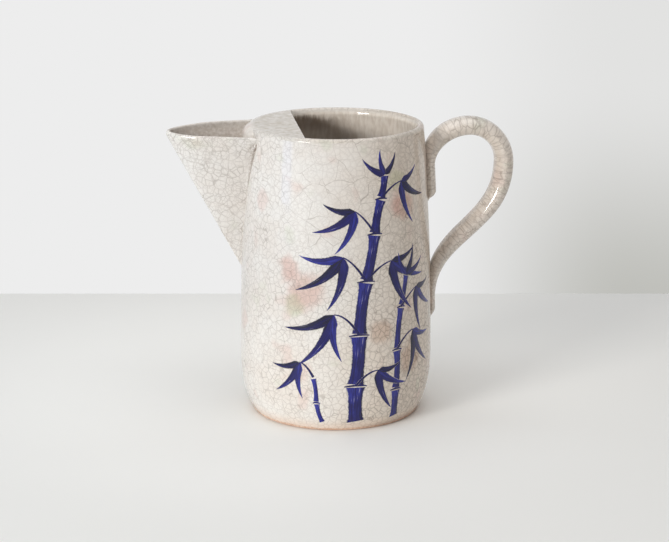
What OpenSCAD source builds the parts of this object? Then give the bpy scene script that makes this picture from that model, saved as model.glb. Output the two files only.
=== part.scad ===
// Stoneware ewer with a wide scoop spout, an ice guard across the front of the mouth and a pulled strap handle.
// The spout points along -X, the handle along +X, and the foot stands on z = 0 round the origin.

/* [Body] */
// Height of the body from the foot to the top of the rim
body_h = 165; // [150:1:190]
// Diameter of the foot where it stands
foot_d = 93.6; // [86:0.2:100]
// Greatest diameter of the body
belly_d = 109; // [104:1:120]
// Height at which the body is widest
belly_z = 38; // [30:1:55]
// Diameter of the body at the rim
rim_d = 98; // [92:1:103]
// Thickness of the body wall
wall_t = 4.5; // [3.5:0.1:5.5]
// Fullness of the curve from the foot up to the widest point
heel_power = 3.1; // [2.5:0.1:4.5]
// Fullness of the curve from the widest point up to the rim
taper_power = 1.8; // [1.4:0.1:2.4]

/* [Floor] */
// Thickness of the floor slab
floor_t = 6; // [4:0.5:8]
// Width of the standing ring of wall round the floor slab
foot_ring_w = 5; // [4:0.5:7]
// Radius of the coil pressed into the corner of floor and wall
floor_coil_r = 5; // [3:0.5:7]

/* [Spout] */
// Distance of the spout's tip from the middle of the body
spout_reach = 95; // [84:1:104]
// Width of the spout where it meets the body, across its rim
spout_w = 39; // [36:1:46]
// Thickness of the spout's slab
spout_t = 4; // [3:0.2:4.6]
// Depth of the spout's rim below the rim of the body
spout_drop = 2; // [1.6:0.2:5]
// Depth below the rim of the body of the point where the spout runs out
spout_depth = 82; // [73:1:90]
// Sideways lean of the spout's rim, in degrees
spout_lean = 5; // [0:0.5:6]
// Hollowness of the keel line from the root to the tip
keel_power = 1; // [0.96:0.02:1.2]
// Hollowness of the spout's flanks from the root to the rim
flank_power = 1.7; // [1.3:0.1:2]
// Roundness of the spout seen from above: 1 is a wedge and 2 is an ellipse
plan_power = 1.8; // [1.6:0.1:2]

/* [Pour window] */
// Height of the window's upper round above the root of the spout
window_high = 58; // [55:1:60]
// Height of the window's lower round above the root of the spout
window_low = 41; // [40:1:45]
// Width of the ledge of wall left between the window and the inside of the spout
window_ledge = 1; // [0.6:0.1:1.2]

/* [Ice guard] */
// Distance of the guard's straight edge from the middle of the body
guard_edge = 21.8; // [16:0.2:27]
// Thickness of the guard
guard_t = 5; // [4:0.2:6]
// Radius of the guard's outer upper edge
guard_round = 3; // [2:0.2:3.6]
// How far the guard's nose stands out of the body, into the spout
nose_out = 3.4; // [2:0.1:4]
// Height of the nose's apron
apron_h = 9; // [7:0.5:10]
// Clearance between the nose and the inside of the spout
nose_gap = 0.6; // [0.4:0.1:1]
// Radius of the coil pressed into the corner under the guard
guard_coil_r = 4; // [3:0.5:4.5]

/* [Handle] */
// Distance of the handle's outermost point from the middle of the body
handle_reach = 101; // [94:1:110]
// Height of the handle's top above the rim
handle_rise = 2; // [0:0.5:6]
// Distance of the handle's highest point from the middle of the body
handle_top_x = 75.4; // [70:0.2:80]
// Depth below the rim of the body of the handle's outermost point
handle_bulge_drop = 24; // [20:1:31]
// Thickness of the strap at the top of the loop
grip_t = 10.4; // [8:0.2:11]
// Thickness of the strap at its outermost point
bulge_t = 10.4; // [9:0.2:12]
// Width of the strap at the top of the loop
grip_w = 18; // [14:0.5:22]
// Width of the strap at its lower end
lower_w = 15; // [12:0.5:18]
// Depth below the rim of the body of the lower end of the upper tail
upper_end_drop = 44.4; // [39:0.2:51]
// Depth below the rim of the body at which the strap leaves the wall
upper_turn_drop = 24; // [21:1:28]
// Thickness of the upper tail on the wall
upper_tail_t = 5.2; // [4:0.2:6.4]
// Height at which the strap comes back to the wall
lower_turn_z = 65; // [60:1:70]
// Height of the lower end of the lower tail
lower_end_z = 51.6; // [46:0.2:55]
// Thickness of the lower tail on the wall
lower_tail_t = 2.8; // [2.4:0.2:5]
// Length of the bevel at the end of each tail
tail_bevel = 4; // [3:0.5:7]
// Downward pull of the strap just below its outermost point
bulge_pull = 38; // [32:1:42]
// Downward pull of the strap just above the place where it comes back to the wall
lower_pull = 36; // [33:1:42]
// Squareness of the strap's section: 2 is an ellipse
strap_power = 2.6; // [2:0.1:3.2]

/* [Hidden] */

glaze_colour = [0.87, 0.84, 0.80];
clay_colour = [0.80, 0.58, 0.42];

$fn = 128;

foot_r = foot_d / 2;
belly_r = belly_d / 2;
rim_r = rim_d / 2;
floor_r = foot_r - foot_ring_w;
crown_z = body_h - wall_t / 2;
guard_z = body_h - guard_t;
margin = 10;

// Radius of the body's outside and inside at a height
function outer_r(z) = z < belly_z
    ? belly_r - (belly_r - foot_r) * pow(1 - z / belly_z, heel_power)
    : belly_r - (belly_r - rim_r) * pow((z - belly_z) / (body_h - belly_z), taper_power);
function inner_r(z) = outer_r(z) - wall_t;

// Heights of the profile's points: closer together near the foot
heel_steps = 9;
heel_spacing = 1.4;
side_steps = 12;
function side_heights(low, high) = [for (i = [0 : side_steps]) low + (high - low) * i / side_steps];
function heel_heights(low) = [
    for (i = [0 : heel_steps - 1]) low + (belly_z - low) * pow(i / heel_steps, heel_spacing)
];
function profile_heights(low, high) = concat(heel_heights(low), side_heights(belly_z, high));
function reversed(list) = [for (i = [len(list) - 1 : -1 : 0]) list[i]];
outside = [for (z = profile_heights(0, crown_z)) [outer_r(z), z]];
inside = [for (z = profile_heights(floor_t, crown_z)) [inner_r(z), z]];

// Half section of the wall, with a half-round rim and a seat for the floor slab
module wall_section() {
    polygon(concat(outside, reversed(inside), [[floor_r, floor_t], [floor_r, 0]]));
    translate([outer_r(crown_z) - wall_t / 2, crown_z])
        circle(d = wall_t);
}

// Half section of the hollow above the floor slab
module cavity_section() {
    polygon(concat([[0, floor_t]], inside, [[0, crown_z]]));
}

// Everything within the outside of the body, up to a height
module body_volume(top) {
    below = [for (point = outside) if (point.y < top) point];
    rotate_extrude()
        polygon(concat([[0, 0]], below, [[outer_r(top), top], [0, top]]));
}

// Everything on the spout's side of the guard's straight edge, from a height up
module guard_side(low) {
    translate([-guard_edge - belly_d, -belly_d, low])
        cube([belly_d, 2 * belly_d, body_h + margin - low]);
}

// Spout, worked out along +X: share is 0 at the root and 1 at the rim
spout_root_z = body_h - spout_depth;
spout_rim_z = body_h - spout_drop - spout_t / 2;
spout_h = spout_rim_z - spout_root_z;
back_sink = 1.5;
spout_back_x = sqrt(pow(rim_r, 2) - pow(spout_w / 2, 2)) - back_sink;
keel_sink = 0.4;
root_half_w = 1.6;
keel_thickening = 1.12;
spout_keel_t = spout_t * keel_thickening;

function keel_x(share) = let (root = outer_r(spout_root_z) - keel_sink)
    root + (spout_reach - root) * pow(share, keel_power);
function flank_y(share) = root_half_w + (spout_w / 2 - root_half_w) * pow(share, flank_power);
function flank_share(half_w) = pow((half_w - root_half_w) / (spout_w / 2 - root_half_w), 1 / flank_power);
function inner_flank(z) = flank_y((z - spout_root_z) / spout_h) - spout_t;
function bent(value) = sign(value) * pow(abs(value), 2 / plan_power);

// One row of points round the spout, set in from the outside by a share of the slab and lifted
spout_sides = 24;
function spout_row(share, inset, lift) = [
    for (i = [0 : spout_sides])
        let (
            turn = -90 + 180 * i / spout_sides,
            x = spout_back_x + (keel_x(share) - inset * spout_keel_t - spout_back_x) * bent(cos(turn)),
            y = (flank_y(share) - inset * spout_t) * bent(sin(turn))
        )
        [x, y, spout_root_z + share * (spout_h + y * tan(spout_lean)) + lift]
];

// Closed shell of the spout: up the outside, over the round rim, down the inside to a line where its sides meet
outer_rows = 14;
crown_rows = 6;
inner_rows = 10;
module spout_shell() {
    cavity_share = flank_share(spout_t);
    last = outer_rows + crown_rows + inner_rows;
    wide = spout_sides + 1;
    rows = concat(
        [for (i = [0 : outer_rows]) spout_row(i / outer_rows, 0, 0)],
        [for (i = [1 : crown_rows - 1]) let (a = 180 * i / crown_rows)
            spout_row(1, (1 - cos(a)) / 2, spout_t / 2 * sin(a))],
        [for (i = [0 : inner_rows]) spout_row(mix(1, cavity_share, i / inner_rows), 1, 0)]
    );
    function corner(r, i) = r * wide + (r == last ? min(i, spout_sides - i) : i);
    skin = [
        for (r = [0 : last - 1])
            for (i = [0 : spout_sides - 1])
                let (a = corner(r, i), b = corner(r, i + 1), c = corner(r + 1, i), d = corner(r + 1, i + 1))
                for (face = [[a, d, b], [a, c, d]]) face
    ];
    root_face = [for (i = [0 : spout_sides]) i];
    left_edge = [for (r = [0 : last]) corner(r, 0)];
    right_edge = [for (r = [last - 1 : -1 : 0]) corner(r, spout_sides)];
    polyhedron(
        points = [
            for (r = [0 : last])
                for (i = [0 : r == last ? spout_sides / 2 : spout_sides]) rows[r][i]
        ],
        faces = concat(skin, [root_face, reversed(concat(left_edge, right_edge))]),
        convexity = 8
    );
}

// Teardrop window through the wall, inside the spout
window_high_z = spout_root_z + window_high;
window_low_z = spout_root_z + window_low;
window_high_r = inner_flank(window_high_z) - window_ledge;
window_low_r = inner_flank(window_low_z) - window_ledge;
module pour_window() {
    lean = asin((window_high_r - window_low_r) / (window_high - window_low));
    side = [cos(lean), -sin(lean)];
    high = [0, window_high_z];
    low = [0, window_low_z];
    flip = [[-1, 0], [0, 1]];
    rotate([90, 0, -90])
        linear_extrude(belly_d) {
            translate(high)
                circle(window_high_r);
            translate(low)
                circle(window_low_r);
            polygon([
                high + window_high_r * side,
                low + window_low_r * side,
                low + window_low_r * side * flip,
                high + window_high_r * side * flip
            ]);
        }
}

// Guard: the nose is an arc through its tip and both places where it leaves the wall
guard_r = outer_r(guard_z);
nose_half_w = inner_flank(body_h - apron_h) - nose_gap;
nose_rise = guard_r + nose_out - sqrt(guard_r * guard_r - nose_half_w * nose_half_w);
nose_r = (nose_half_w * nose_half_w + nose_rise * nose_rise) / (2 * nose_rise);
nose_x = guard_r + nose_out - nose_r;

// Disc of a radius and a height whose upper edge is rounded
module rounded_disc(radius, height) {
    rotate_extrude() {
        square([radius, height - guard_round]);
        square([radius - guard_round, height]);
        translate([radius - guard_round, height - guard_round])
            intersection() {
                circle(guard_round);
                square(guard_round);
            }
    }
}

// Handle: the strap runs from the upper tail's end, round the loop, to the lower tail's end
upper_end_z = body_h - upper_end_drop;
upper_turn_z = body_h - upper_turn_drop;
sink = 2;
bevel_start = 0.2;
round_pull = 0.5523;
strap_sides = 20;
tail_steps = 5;
loop_steps = 12;
sweep_steps = 20;
thinning_power = 2.8;
swelling_power = 0.7;

// Station of the strap on the wall: place, thickness and width
function tail_rise(z, end_z) = bevel_start + (1 - bevel_start) * min(1, (z - end_z) / tail_bevel);
function tail_station(z, end_z, tail_t, width) =
    let (face = tail_t * tail_rise(z, end_z))
    [[outer_r(z) + (face - sink) / 2, z], face + sink, width];

function curve(p, t) =
    p[0] * pow(1 - t, 3) + 3 * p[1] * t * pow(1 - t, 2) + 3 * p[2] * t * t * (1 - t) + p[3] * pow(t, 3);
function mix(a, b, share) = a + (b - a) * share;
function ease(t) = t * t * (3 - 2 * t);

leave = tail_station(upper_turn_z, upper_end_z, upper_tail_t, grip_w);
land = tail_station(lower_turn_z, lower_end_z, lower_tail_t, lower_w);
top = [handle_top_x, body_h + handle_rise - grip_t / 2];
bulge = [handle_reach - bulge_t / 2, body_h - handle_bulge_drop];

rising = [
    leave[0],
    [leave[0].x, mix(leave[0].y, top.y, round_pull)],
    [mix(top.x, leave[0].x, round_pull), top.y],
    top
];
falling = [
    top,
    [mix(top.x, bulge.x, round_pull), top.y],
    [bulge.x, mix(bulge.y, top.y, round_pull)],
    bulge
];
sweeping = [
    bulge,
    bulge - [0, bulge_pull],
    land[0] + [0, lower_pull],
    land[0]
];

stations = concat(
    [for (i = [0 : tail_steps - 1])
        tail_station(mix(upper_end_z, upper_turn_z, i / tail_steps), upper_end_z, upper_tail_t, grip_w)],
    [for (i = [0 : loop_steps - 1]) let (t = i / loop_steps)
        [curve(rising, t), mix(leave[1], grip_t, ease(pow(t, swelling_power))), grip_w]],
    [for (i = [0 : loop_steps - 1]) let (t = i / loop_steps)
        [curve(falling, t), mix(grip_t, bulge_t, ease(t)), grip_w]],
    [for (i = [0 : sweep_steps - 1]) let (t = i / sweep_steps)
        [curve(sweeping, t), mix(bulge_t, land[1], pow(t, thinning_power)), mix(grip_w, lower_w, t)]],
    [for (i = [0 : tail_steps])
        tail_station(mix(lower_turn_z, lower_end_z, i / tail_steps), lower_end_z, lower_tail_t, lower_w)]
);

function squared(value) = sign(value) * pow(abs(value), 2 / strap_power);
function strap_row(index) =
    let (
        ahead = stations[min(index + 1, len(stations) - 1)][0],
        behind = stations[max(index - 1, 0)][0],
        along = (ahead - behind) / norm(ahead - behind),
        place = stations[index][0],
        half_t = stations[index][1] / 2,
        half_w = stations[index][2] / 2
    )
    [for (i = [0 : strap_sides - 1])
        let (
            turn = 360 * i / strap_sides,
            out = half_t * squared(cos(turn))
        )
        [place.x + along.y * out, half_w * squared(sin(turn)), place.y - along.x * out]];

module strap() {
    last = len(stations) - 1;
    skin = [
        for (r = [0 : last - 1])
            for (i = [0 : strap_sides - 1])
                let (
                    next = (i + 1) % strap_sides,
                    a = r * strap_sides + i,
                    b = r * strap_sides + next,
                    c = a + strap_sides,
                    d = b + strap_sides
                )
                for (face = [[a, c, d], [a, d, b]]) face
    ];
    first_face = [for (i = [0 : strap_sides - 1]) i];
    last_face = [for (i = [strap_sides - 1 : -1 : 0]) last * strap_sides + i];
    polyhedron(
        points = [for (r = [0 : last]) for (point = strap_row(r)) point],
        faces = concat(skin, [first_face, last_face]),
        convexity = 6
    );
}

module body_wall() {
    color(glaze_colour)
        difference() {
            rotate_extrude()
                wall_section();
            pour_window();
            guard_side(guard_z);
        }
}

module floor_slab() {
    color(clay_colour)
        cylinder(r = floor_r, h = floor_t);
}

module floor_seam_coil() {
    color(glaze_colour)
        rotate_extrude()
            intersection() {
                cavity_section();
                translate([inner_r(floor_t), floor_t])
                    circle(floor_coil_r);
            }
}

module spout() {
    color(glaze_colour)
        difference() {
            mirror([1, 0, 0])
                spout_shell();
            body_volume(body_h);
        }
}

module ice_guard() {
    color(glaze_colour)
        intersection() {
            guard_side(0);
            union() {
                translate([0, 0, guard_z])
                    rounded_disc(guard_r, guard_t);
                difference() {
                    translate([-nose_x, 0, body_h - apron_h])
                        rounded_disc(nose_r, apron_h);
                    body_volume(guard_z);
                }
            }
        }
}

module guard_seam_coil() {
    color(glaze_colour)
        intersection() {
            guard_side(0);
            rotate_extrude()
                intersection() {
                    cavity_section();
                    square([belly_r, guard_z]);
                    translate([inner_r(guard_z), guard_z])
                        circle(guard_coil_r);
                }
        }
}

module handle() {
    color(glaze_colour)
        difference() {
            strap();
            body_volume(body_h);
        }
}

body_wall();
floor_slab();
floor_seam_coil();
spout();
ice_guard();
guard_seam_coil();
handle();
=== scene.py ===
import math

import bpy
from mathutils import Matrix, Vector, noise


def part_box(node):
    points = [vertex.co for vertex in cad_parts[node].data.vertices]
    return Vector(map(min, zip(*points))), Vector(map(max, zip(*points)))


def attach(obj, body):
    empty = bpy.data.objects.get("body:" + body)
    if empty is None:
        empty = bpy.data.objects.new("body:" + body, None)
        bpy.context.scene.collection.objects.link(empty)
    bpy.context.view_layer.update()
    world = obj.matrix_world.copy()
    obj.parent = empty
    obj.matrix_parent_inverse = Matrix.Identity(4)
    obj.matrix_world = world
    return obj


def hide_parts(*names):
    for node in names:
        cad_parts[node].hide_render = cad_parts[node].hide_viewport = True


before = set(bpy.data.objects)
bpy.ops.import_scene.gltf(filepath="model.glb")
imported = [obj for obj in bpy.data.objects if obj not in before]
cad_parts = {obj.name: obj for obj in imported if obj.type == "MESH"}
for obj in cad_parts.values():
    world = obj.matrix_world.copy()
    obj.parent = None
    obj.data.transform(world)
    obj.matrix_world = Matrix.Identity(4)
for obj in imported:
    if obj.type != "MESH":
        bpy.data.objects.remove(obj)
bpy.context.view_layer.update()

# Everything below is worked out in millimetres and turned into metres when a mesh is made.
# The spout points along -X and the handle along +X, as in the frame.
MM = 0.001


def node_box(node):
    """Lowest and highest corner of a CAD node, in millimetres."""
    low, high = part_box(node)
    return Vector(low) / MM, Vector(high) / MM


# Sizes of the body
_, BELLY_R, BODY_H = node_box("body_wall")[1]
BELLY_Z = 38.0
FOOT_R = 46.8
RIM_R = 49.0
WALL_T = 4.5
HEEL_POWER = 3.1
TAPER_POWER = 1.8
CROWN_Z = BODY_H - WALL_T / 2
FLOOR_R, _, FLOOR_T = node_box("floor_slab")[1]

# Sizes of the spout
SPOUT_REACH = -node_box("spout")[0].x
SPOUT_W = 39.0
SPOUT_T = 4.0
SPOUT_KEEL_T = SPOUT_T * 1.12
SPOUT_ROOT_Z = BODY_H - 82.0
SPOUT_RIM_Z = BODY_H - 2.0 - SPOUT_T / 2
SPOUT_H = SPOUT_RIM_Z - SPOUT_ROOT_Z
SPOUT_BACK_X = math.sqrt(RIM_R ** 2 - (SPOUT_W / 2) ** 2) - 1.5
SPOUT_LEAN = math.tan(math.radians(5.0))
SPOUT_RIM_T = 2.3
SPOUT_TOP_SHARE = 1 + (SPOUT_T - SPOUT_RIM_T) / 2 / SPOUT_H
ROOT_HALF_W = 1.6
FLANK_POWER = 1.7
PLAN_POWER = 1.8

# Sizes of the pour window, the ice guard and the handle
WINDOW_Z = (SPOUT_ROOT_Z + 41.0, SPOUT_ROOT_Z + 58.0)
WINDOW_LEDGE = 1.0
GUARD_EDGE = -node_box("ice_guard")[1].x
GUARD_T = 5.0
GUARD_Z = BODY_H - GUARD_T
NOSE_OUT = 3.4
APRON_H = 9.0
NOSE_GAP = 0.6
HANDLE_REACH, _, HANDLE_TOP_Z = node_box("handle")[1]
HANDLE_TOP_X = 75.4
GRIP_T, BULGE_T = 10.4, 10.4
GRIP_W, LOWER_W = 18.0, 15.0
BULGE_Z = BODY_H - 24.0
UPPER_END_Z, UPPER_TURN_Z = BODY_H - 44.4, BODY_H - 24.0
LOWER_END_Z, LOWER_TURN_Z = 51.6, 65.0
UPPER_TAIL = (UPPER_END_Z, 5.2, GRIP_W)
LOWER_TAIL = (LOWER_END_Z, 2.8, LOWER_W)
BULGE_PULL, LOWER_PULL = 38.0, 36.0
TAIL_BEVEL = 4.0

# The camera, fitted to the photograph
CAMERA_AZIMUTH = math.radians(-6.95)
CAMERA_ELEVATION = math.radians(15.086)
CAMERA_DISTANCE = 1147.2
CAMERA_AIM = Vector((-0.75, 0.09, 79.26))
CAMERA_LENS = 108.45
FRONT = math.atan2(-math.cos(CAMERA_AZIMUTH), math.sin(CAMERA_AZIMUTH))


# Small helpers

def mix(a, b, share):
    return a + (b - a) * share


def ease(value):
    value = min(1.0, max(0.0, value))
    return value * value * (3 - 2 * value)


def spread(low, high, count):
    """Evenly spaced values, both ends included."""
    return [mix(low, high, i / (count - 1)) for i in range(count)]


def signed_power(value, power):
    return math.copysign(abs(value) ** power, value)


def polar(radius, angle, z):
    return Vector((radius * math.cos(angle), radius * math.sin(angle), z))


def bezier(points, t):
    """Point of the curve that the control points pull along."""
    while len(points) > 1:
        points = [mix(a, b, t) for a, b in zip(points, points[1:])]
    return points[0]


def solve(function, low, high):
    """Root of a function that changes sign once between low and high."""
    low_sign = function(low) > 0
    for _ in range(40):
        middle = (low + high) / 2
        if (function(middle) > 0) == low_sign:
            low = middle
        else:
            high = middle
    return (low + high) / 2


# Meshes

SHARP_ANGLE = math.radians(42)


def add(name, data):
    """New thing in the scene: a piece, a tool, a lamp or the camera."""
    thing = bpy.data.objects.new(name, data)
    bpy.context.scene.collection.objects.link(thing)
    return thing


def place(name, mesh, material, node=None):
    """Adds a mesh, smoothed, to the scene as a piece of the object; it may stand for a CAD node."""
    mesh.shade_smooth()
    mesh.set_sharp_from_angle(angle=SHARP_ANGLE)
    mesh.update()
    mesh.materials.append(material)
    piece = add(name, mesh)
    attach(piece, "root")
    if node:
        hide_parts(node)


def repaint(node, material):
    """Gives a CAD solid another material."""
    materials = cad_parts[node].data.materials
    materials.clear()
    materials.append(material)


class Skin:
    """Collects the points and faces of a surface made of rows."""

    def __init__(self):
        self.points = []
        self.faces = []

    def row(self, points):
        start = len(self.points)
        self.points.extend(points)
        return list(range(start, start + len(points)))

    def mesh(self, name, **values):
        """The surface as a mesh; values hold a number for each point, for its material to read."""
        mesh = bpy.data.meshes.new(name)
        mesh.from_pydata([point * MM for point in self.points], [], self.faces)
        mesh.validate()
        for key, numbers in values.items():
            mesh.attributes.new(key, "FLOAT", "POINT").data.foreach_set("value", numbers)
        return mesh

    def join(self, low, high, wrap):
        """Quads between two rows; wrap closes each row round."""
        count = len(low)
        for i in range(count if wrap else count - 1):
            k = (i + 1) % count
            self.faces.append((low[i], low[k], high[k], high[i]))

    def cap(self, row, flip=False):
        self.faces.append(tuple(reversed(row)) if flip else tuple(row))

    def tube(self, rows, flip=False):
        """Closed rows joined one after the other, with a cap at each end."""
        for low, high in zip(rows, rows[1:]):
            if flip:
                low, high = high, low
            self.join(low, high, wrap=True)
        self.cap(rows[0], flip=not flip)
        self.cap(rows[-1], flip=flip)


# Body

def outer_r(z):
    if z < BELLY_Z:
        return mix(BELLY_R, FOOT_R, (1 - max(z, 0.0) / BELLY_Z) ** HEEL_POWER)
    share = (min(z, BODY_H) - BELLY_Z) / (BODY_H - BELLY_Z)
    return mix(BELLY_R, RIM_R, share ** TAPER_POWER)


# Slow swells of the wall and faint rings left by the fingers
SWELL = 0.22
SWELL_TURN = 1.6
SWELL_RUN = 38.0
RING = 0.05
RING_RUN = 3.1
RING_PLACE = Vector((5, 2, 8))


def hand_wobble(angle, z):
    """How far the hand-made wall strays from a true round."""
    at = Vector((math.cos(angle) * SWELL_TURN, math.sin(angle) * SWELL_TURN, z / SWELL_RUN))
    rings = RING * math.sin(z / RING_RUN + angle) * noise.noise(at * 0.7 + RING_PLACE)
    return SWELL * noise.noise(at) + rings


def skin_r(angle, z):
    return outer_r(z) + hand_wobble(angle, z)


BODY_SIDES = 288
FOOT_ROUND = 1.3
INSIDE_UV_SHARE = 0.35
INSIDE_FADE = 26.0
INSIDE_START = 0.01
RIM_ROLL = 4.5
SLAB_OVERLAP = 0.2
STANDING_RING = (FLOOR_R + 1.5, FOOT_R - 2.4)


def body_profile():
    """Closed loop of (radius, height, inside) once round the section of the wall."""
    loop = [(FLOOR_R - SLAB_OVERLAP, 0.05, 1.0)] + [(r, 0.0, 0.0) for r in STANDING_RING]
    edge_r = outer_r(FOOT_ROUND) - FOOT_ROUND
    for a in spread(-90, -8, 6):
        angle = math.radians(a)
        loop.append((edge_r + FOOT_ROUND * math.cos(angle), FOOT_ROUND * (1 + math.sin(angle)), 0.0))
    for z in spread(2.0, 24.0, 14) + spread(26.0, CROWN_Z, 64):
        loop.append((outer_r(z), z, 0.0))
    rim_r = outer_r(CROWN_Z) - WALL_T / 2
    for a in spread(0, 180, 21)[1:-1]:
        angle = math.radians(a)
        drop = WALL_T / 2 if a < 90 else RIM_ROLL
        height = BODY_H - drop * (1 - math.sin(angle))
        inside = INSIDE_START * ease((a - 110) / 60)
        loop.append((rim_r + WALL_T / 2 * math.cos(angle), height, inside))
    for z in spread(BODY_H - RIM_ROLL, FLOOR_T, 44):
        inside = max(INSIDE_START, ease((CROWN_Z - z) / INSIDE_FADE) ** 1.6)
        loop.append((outer_r(z) - WALL_T, z, inside))
    loop.append((FLOOR_R - SLAB_OVERLAP, FLOOR_T, 1.0))
    return loop


def body_mesh():
    skin = Skin()
    profile = body_profile()
    angles = [2 * math.pi * i / BODY_SIDES for i in range(BODY_SIDES)]
    rows = []
    inside = []
    for r, z, within in profile:
        rows.append(skin.row([polar(r + hand_wobble(a, z), a, z) for a in angles]))
        inside.extend([within] * BODY_SIDES)
    for i, row in enumerate(rows):
        skin.join(row, rows[(i + 1) % len(rows)], wrap=True)
    mesh = skin.mesh("body", inside=inside)
    lay_out_body(mesh, profile)
    return mesh


def lay_out_body(mesh, profile):
    """Flat layout of the body's surface that gives the outside most of the room."""
    heights = [0.0]
    for i, (r, z, inside) in enumerate(profile):
        after = profile[(i + 1) % len(profile)]
        length = math.hypot(after[0] - r, after[1] - z)
        heights.append(heights[-1] + length * mix(1.0, INSIDE_UV_SHARE, max(inside, after[2])))
    layer = mesh.uv_layers.new(name="OFBake")
    for index, polygon in enumerate(mesh.polygons):
        row, column = divmod(index, BODY_SIDES)
        corners = ((column, row), (column + 1, row), (column + 1, row + 1), (column, row + 1))
        for loop_index, (i, k) in zip(polygon.loop_indices, corners):
            layer.data[loop_index].uv = (i / BODY_SIDES, heights[k] / heights[-1])


def inner_flank(z):
    return flank_y((z - SPOUT_ROOT_Z) / SPOUT_H) - SPOUT_T


WINDOW_BAR_X = (-30.0, -80.0)


def window_cutter():
    """Teardrop bar that cuts the pour window through the wall behind the spout."""
    low_z, high_z = WINDOW_Z
    low_r = inner_flank(low_z) - WINDOW_LEDGE
    high_r = inner_flank(high_z) - WINDOW_LEDGE
    lean = math.asin((high_r - low_r) / (high_z - low_z))
    outline = []
    for a in spread(-lean, math.pi + lean, 25):
        outline.append((high_r * math.cos(a), high_z + high_r * math.sin(a)))
    for a in spread(math.pi + lean, 2 * math.pi - lean, 17):
        outline.append((low_r * math.cos(a), low_z + low_r * math.sin(a)))
    skin = Skin()
    skin.tube([skin.row([Vector((x, y, z)) for y, z in outline]) for x in WINDOW_BAR_X])
    return skin.mesh("window_cutter")


BEVEL_ANGLE = math.radians(60)


def cut(mesh, cutter_mesh, bevel=0.0):
    """The mesh with the cutter taken out of it, and the sharp edges rounded off."""
    whole = add("whole", mesh)
    cutter = add("cutter", cutter_mesh)
    modifier = whole.modifiers.new("cut", "BOOLEAN")
    modifier.operation = "DIFFERENCE"
    modifier.solver = "EXACT"
    modifier.object = cutter
    if bevel:
        rounding = whole.modifiers.new("round", "BEVEL")
        rounding.width = bevel * MM
        rounding.segments = 3
        rounding.limit_method = "ANGLE"
        rounding.angle_limit = BEVEL_ANGLE
    depsgraph = bpy.context.evaluated_depsgraph_get()
    result = bpy.data.meshes.new_from_object(whole.evaluated_get(depsgraph))
    bpy.data.objects.remove(whole)
    bpy.data.objects.remove(cutter)
    bpy.data.meshes.remove(mesh)
    bpy.data.meshes.remove(cutter_mesh)
    return result


# Spout, worked out along +X and turned to -X at the end

KEEL_SINK = 0.4
THIN_FROM = 0.78
RIM_WAVE = 0.3
RIM_WAVE_RUN = 16.0
RIM_DROOP = 0.7
RIM_DROOP_RUN = 3.0


def keel_x(share):
    return mix(outer_r(SPOUT_ROOT_Z) - KEEL_SINK, SPOUT_REACH, share)


def flank_y(share):
    return mix(ROOT_HALF_W, SPOUT_W / 2, max(share, 0.0) ** FLANK_POWER)


def flank_share(half_w):
    return ((half_w - ROOT_HALF_W) / (SPOUT_W / 2 - ROOT_HALF_W)) ** (1 / FLANK_POWER)


def spout_thickness(share):
    """The slab thins towards its rim."""
    return mix(SPOUT_T, SPOUT_RIM_T, ease((share - THIN_FROM) / (1 - THIN_FROM)))


def spout_point(share, turn, inset=0.0, lift=0.0):
    thickness = inset * spout_thickness(share)
    reach = keel_x(min(share, 1.0)) - thickness * SPOUT_KEEL_T / SPOUT_T - SPOUT_BACK_X
    x = SPOUT_BACK_X + reach * signed_power(math.cos(turn), 2 / PLAN_POWER)
    y = (flank_y(min(share, 1.0)) - thickness) * signed_power(math.sin(turn), 2 / PLAN_POWER)
    wave = RIM_WAVE * noise.noise(Vector((x / RIM_WAVE_RUN, y / RIM_WAVE_RUN, 3.7))) * share ** 4
    by_wall = 1.0 - ease((math.hypot(x, y) - RIM_R) / RIM_DROOP_RUN)
    droop = RIM_DROOP * by_wall * share ** 12 * (y < 0)
    return Vector((x, y, SPOUT_ROOT_Z + share * (SPOUT_H + y * SPOUT_LEAN) + lift + wave - droop))


def turn_at_wall(share, side, depth=0.0, inset=0.0, lift=0.0):
    """Turn at which a row of the spout has sunk to a depth in the wall."""
    def outside(turn):
        point = spout_point(share, side * turn, inset, lift)
        return math.hypot(point.x, point.y) - (outer_r(point.z) - depth)
    if outside(0.0) < 0:
        return 0.05
    return solve(outside, 0.0, math.pi / 2)


SPOUT_SIDES = 80
SPOUT_SINK = 1.4
SPOUT_ROLL = 2.4
CAVITY_HALF_W = 0.8
SPOUT_FADE = 4.5
SPOUT_BROWN = 0.6
RIM_BROWN = 0.41
SEAM_STAIN_RUN = 34.0
SEAM_STAIN_W = 5.2
SEAM_STAIN = 1.7
SEAM_STAIN_TOP = 1.8


def seam_stain(reach, share):
    """How brown the outside of the slab is at a distance from the wall, below its rim."""
    below = (SPOUT_TOP_SHARE - share) * SPOUT_H
    near_top = ease(1.0 - below / SEAM_STAIN_RUN)
    by_wall = 1.0 - ease(reach / (SEAM_STAIN_W * near_top + 0.1))
    return SEAM_STAIN * near_top * by_wall * ease(below / SEAM_STAIN_TOP - 1.0)


def spout_rows():
    """Rows of (share, inset, lift): up the outside, over the rim and down the inside."""
    roll = SPOUT_ROLL / SPOUT_H
    rows = [(share, 0.0, 0.0) for share in spread(0.0, SPOUT_TOP_SHARE - roll, 60)]
    for a in spread(0, 180, 17)[1:-1]:
        angle = math.radians(a)
        share = SPOUT_TOP_SHARE - (roll * (1 - math.sin(angle)) if a < 90 else 0.0)
        rows.append((share, (1 - math.cos(angle)) / 2, SPOUT_RIM_T / 2 * math.sin(angle)))
    bottom = flank_share(SPOUT_T + CAVITY_HALF_W)
    rows.extend((share, 1.0, 0.0) for share in spread(SPOUT_TOP_SHARE, bottom, 44))
    return rows


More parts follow.
